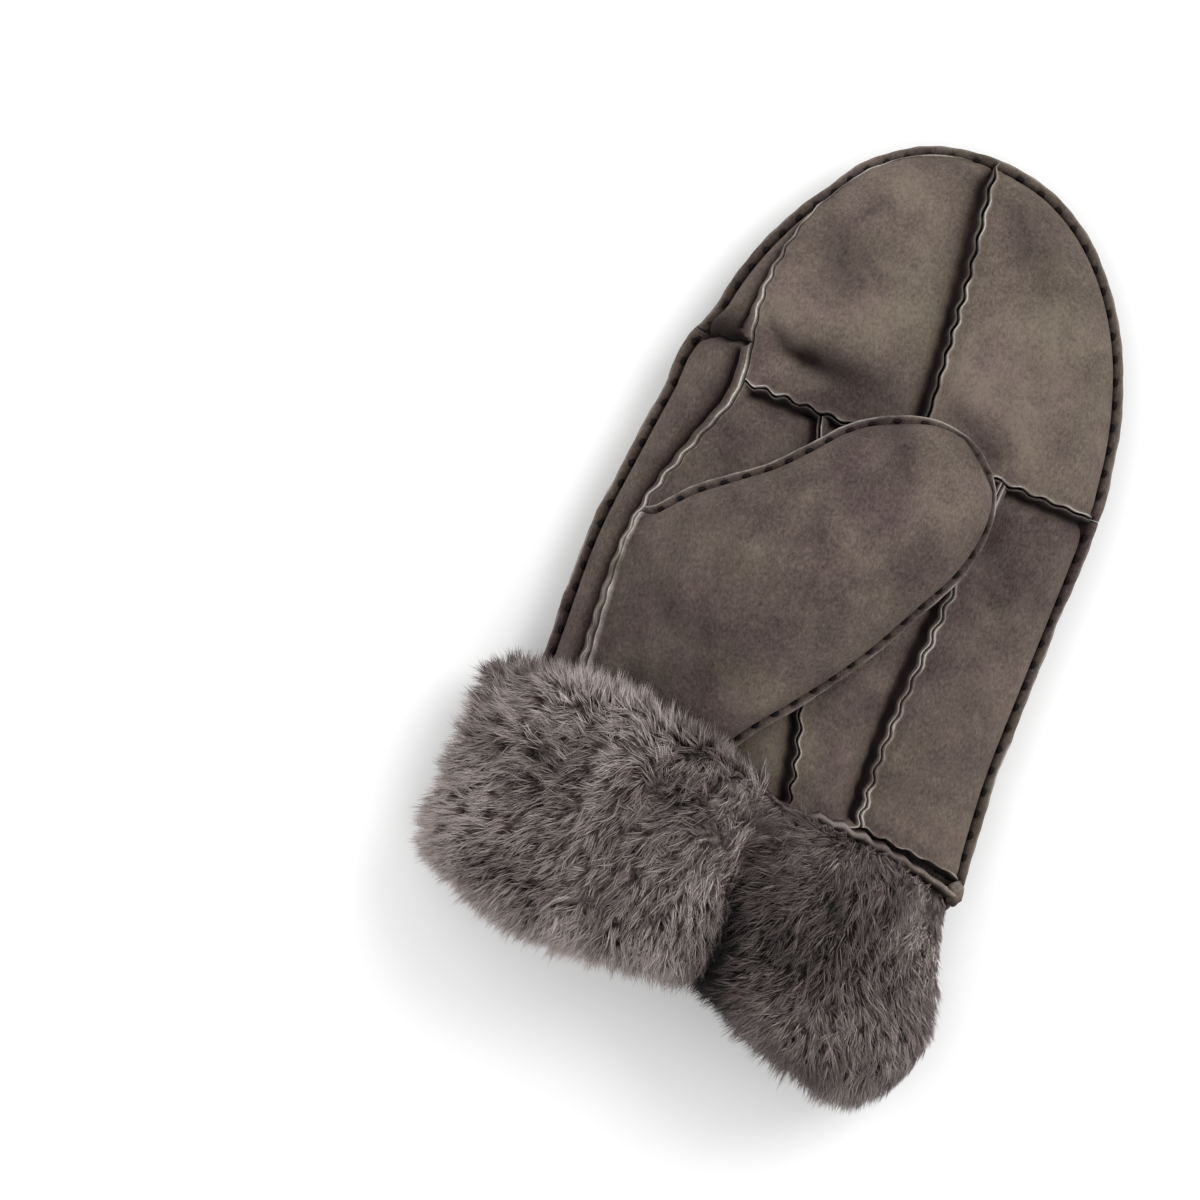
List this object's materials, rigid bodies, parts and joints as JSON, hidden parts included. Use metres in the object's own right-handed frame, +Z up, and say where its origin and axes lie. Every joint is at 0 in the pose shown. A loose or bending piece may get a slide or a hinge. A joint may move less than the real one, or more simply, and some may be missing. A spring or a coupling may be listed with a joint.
{
  "type": "fur mitten",
  "caption": "Sheepskin mitten for the left hand: patchwork suede outside, wool inside, a folded thumb and a turned-back fur cuff.",
  "frame": {"origin": "on the surface the mitten lies on, below the middle of its bounding box", "axes": "+X away from the thumb side, +Y to the fingertips, +Z up from the back of the hand to the palm"},
  "size_m": [0.153, 0.2482, 0.0591],
  "materials": {
    "suede": "napped suede side of sheepskin, taupe",
    "fur": "dense sheep's wool, dark taupe with paler tips"
  },
  "bodies": {
    "root": {"palm_low_thumb_side": "suede", "palm_low_middle": "suede", "palm_low_outer": "suede", "palm_tip_thumb_side": "suede", "palm_tip_outer": "suede", "side_strip_low": "suede", "side_strip_tip": "suede", "back_low_thumb_side": "suede", "back_low_outer": "suede", "back_tip_thumb_side": "suede", "back_tip_outer": "suede", "thumb_front": "suede", "thumb_back": "suede", "fur_cuff": "fur"}
  },
  "joints": []
}
